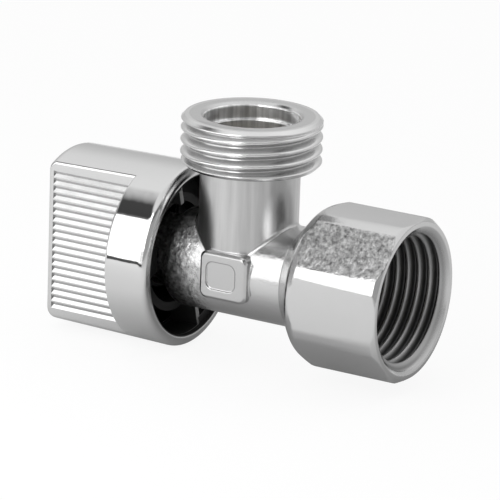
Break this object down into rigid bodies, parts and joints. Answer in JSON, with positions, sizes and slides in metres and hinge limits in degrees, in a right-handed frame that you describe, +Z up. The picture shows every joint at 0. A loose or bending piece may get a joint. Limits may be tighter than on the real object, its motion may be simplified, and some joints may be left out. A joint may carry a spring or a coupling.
{
  "type": "angle valve",
  "caption": "Quarter-turn angle valve: forged body with an octagonal internally threaded inlet, an externally threaded outlet square to it, a ball inside and a ribbed winged knob on the end.",
  "frame": {"origin": "on the inlet axis, where the inlet's internal thread starts, 1.1 mm inside the socket's face", "axes": "+X out of the inlet socket along its axis, +Z up the outlet's axis, -Y the front with the small square pad"},
  "size_m": [0.0595, 0.0278, 0.0371],
  "materials": {
    "plated_brass": "bright chrome plate over a forged and turned brass body, slightly rough where the forging is left as it came",
    "plated_knob": "smooth bright chrome plate over moulded plastic",
    "bare_brass": "turned brass, left bare",
    "ball_plate": "polished chrome plate on the ball",
    "seat_ring": "white slippery plastic, turned",
    "seal_rubber": "black moulded rubber",
    "screw_steel": "zinc plated steel"
  },
  "bodies": {
    "valve_body": {"body": "plated_brass", "thrust_washer": "seat_ring", "packing_ring": "seat_ring", "gland_washer": "bare_brass", "gland_nut": "bare_brass", "outlet_seat": "seat_ring", "outlet_seat_o_ring": "seal_rubber", "outlet_retainer": "bare_brass", "inlet_seat": "seat_ring", "inlet_seat_o_ring": "seal_rubber", "inlet_retainer": "bare_brass"},
    "turning_set": {"knob": "plated_knob", "knob_cap": "plated_knob", "knob_insert": "bare_brass", "knob_screw": "screw_steel", "screw_washer": "screw_steel", "stem": "bare_brass", "stem_o_ring_inner": "seal_rubber", "stem_o_ring_outer": "seal_rubber", "ball": "ball_plate"}
  },
  "joints": [
    {"name": "knob_turn", "type": "hinge", "parent": "valve_body", "child": "turning_set", "pos_m": [-0.027, 0, 0], "axis": [1, 0, 0], "range_deg": [0, 90]}
  ]
}
